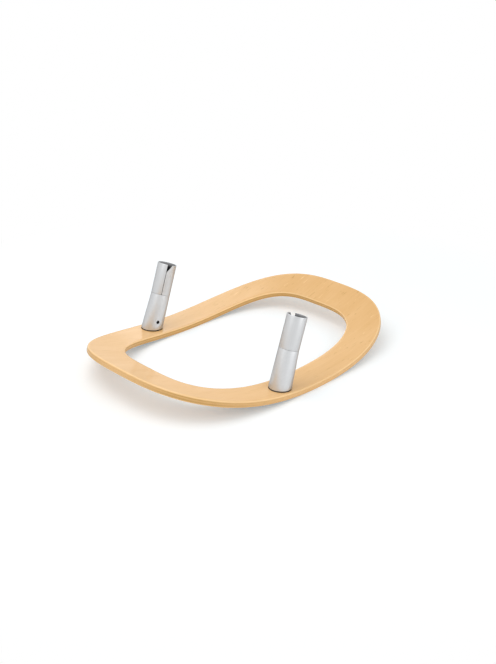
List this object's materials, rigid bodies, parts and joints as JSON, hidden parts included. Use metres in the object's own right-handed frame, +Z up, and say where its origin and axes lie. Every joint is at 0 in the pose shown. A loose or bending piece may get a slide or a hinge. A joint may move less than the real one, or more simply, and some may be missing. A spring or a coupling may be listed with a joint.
{
  "type": "rocking base",
  "caption": "Rocking base for a seat: a bent plywood ring with a leaning metal post at each side, each topped by a split sleeve for a tube end.",
  "frame": {"origin": "on the floor, under the middle of the ring's outline", "axes": "+X across, to the right when facing the back; +Y along the ring, to the back, where the posts lean; +Z up"},
  "size_m": [0.53, 0.7554, 0.1893],
  "materials": {
    "plywood": "clear satin lacquer on light birch-like plywood, ply lines on the edges",
    "foot": "satin cast",
    "sleeve": "satin brushed",
    "core": "turned, bare",
    "gasket": "matt black",
    "lock_screw": "black oxide",
    "ring_screw": "zinc plated"
  },
  "bodies": {
    "base_body": {"rocker_ring": "plywood", "left_post_core": "core", "left_foot": "foot", "left_foot_gasket": "gasket", "left_lock_screw": "lock_screw", "left_front_ring_screw": "ring_screw", "left_back_ring_screw": "ring_screw", "right_post_core": "core", "right_foot": "foot", "right_foot_gasket": "gasket", "right_lock_screw": "lock_screw", "right_front_ring_screw": "ring_screw", "right_back_ring_screw": "ring_screw"},
    "left_sleeve_body": {"left_sleeve": "sleeve"},
    "right_sleeve_body": {"right_sleeve": "sleeve"}
  },
  "joints": [
    {"name": "left_sleeve_turn", "type": "hinge", "parent": "base_body", "child": "left_sleeve_body", "pos_m": [-0.2235, -0.06317, 0.10747], "axis": [0, 0.3173, 0.9483], "continuous": true},
    {"name": "right_sleeve_turn", "type": "hinge", "parent": "base_body", "child": "right_sleeve_body", "pos_m": [0.2235, -0.06317, 0.10747], "axis": [0, 0.3173, 0.9483], "continuous": true}
  ]
}
